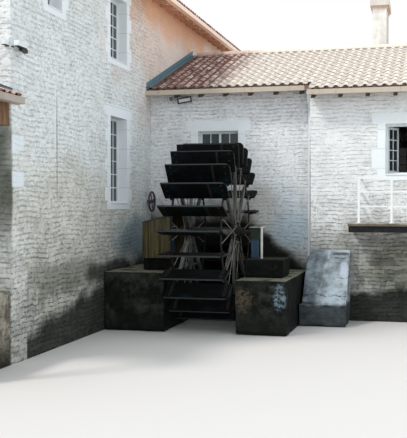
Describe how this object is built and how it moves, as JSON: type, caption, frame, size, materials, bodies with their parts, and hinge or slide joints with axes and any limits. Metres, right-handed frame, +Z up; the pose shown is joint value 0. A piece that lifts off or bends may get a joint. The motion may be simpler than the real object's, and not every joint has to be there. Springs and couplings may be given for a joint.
{
  "type": "watermill",
  "caption": "Stone watermill with a tall tiled house, a low wing at right angles and an open paddle wheel turning between two masonry piers.",
  "frame": {"origin": "on the water line, in the middle of the river wall of the tall house and level with the front face of the wing", "axes": "+X to the right along the wing and the wheel's axle, +Y away from the river front along the tall house, +Z up"},
  "size_m": [16.255, 17.1, 9.018],
  "materials": {
    "limewashed_stone": "limewashed rubble masonry",
    "dressed_stone": "dressed limestone, smooth",
    "dark_masonry": "wet stained masonry",
    "rendered_stone": "rough lime render",
    "floor_boards": "plain boards",
    "clay_tiles": "fired clay, matt",
    "gutter_paint": "painted, satin",
    "zinc": "weathered zinc",
    "white_paint": "painted, satin",
    "window_wood": "painted white",
    "glass": "clear",
    "timber": "weathered",
    "cover_boards": "weathered boards",
    "door_wood": "stained",
    "concrete": "cast, weathered",
    "dark_steel": "rusted and painted",
    "green_iron": "painted",
    "lamp_metal": "painted",
    "wheel_wood": "tarred, wet",
    "wheel_iron": "rusted, wet"
  },
  "bodies": {
    "mill": {"house_river_wall": "limewashed_stone", "house_front_wall": "limewashed_stone", "house_rear_wall": "limewashed_stone", "house_left_wall": "limewashed_stone", "floors": "floor_boards", "house_roof": "clay_tiles", "house_surrounds": "dressed_stone", "house_gutters": "gutter_paint", "front_door": "door_wood", "wing_wall_left": "limewashed_stone", "wing_wall_right": "limewashed_stone", "wing_rear_wall": "limewashed_stone", "wing_gable_wall": "limewashed_stone", "wing_roof_front": "clay_tiles", "wing_roof_rear": "clay_tiles", "wing_surrounds": "dressed_stone", "wing_gutters": "gutter_paint", "flashings": "zinc", "ridge_tiles": "clay_tiles", "rafter_tails": "timber", "window_frames": "window_wood", "window_glass": "glass", "open_casement": "window_wood", "downpipe": "white_paint", "chimney": "rendered_stone", "deck_slab": "concrete", "deck_beams": "dark_steel", "deck_railing": "white_paint", "buttress": "rendered_stone", "wheel_piers": "dark_masonry", "bearing_blocks": "dark_masonry", "bearing_stands": "green_iron", "wheel_cover": "cover_boards", "wall_lamps": "lamp_metal", "wall_wheel": "dark_steel", "porch_base": "dark_masonry", "porch_frame": "timber", "porch_roof": "clay_tiles"},
    "wheel": {"wheel_axle": "wheel_iron", "wheel_hubs": "wheel_iron", "wheel_arms": "wheel_wood", "wheel_rims": "wheel_iron", "wheel_rods": "wheel_iron", "wheel_paddles": "wheel_wood", "wheel_brackets": "wheel_iron"}
  },
  "joints": [
    {"name": "wheel_spin", "type": "hinge", "parent": "mill", "child": "wheel", "pos_m": [2.283, -2, 1.98], "axis": [1, 0, 0], "continuous": true}
  ]
}
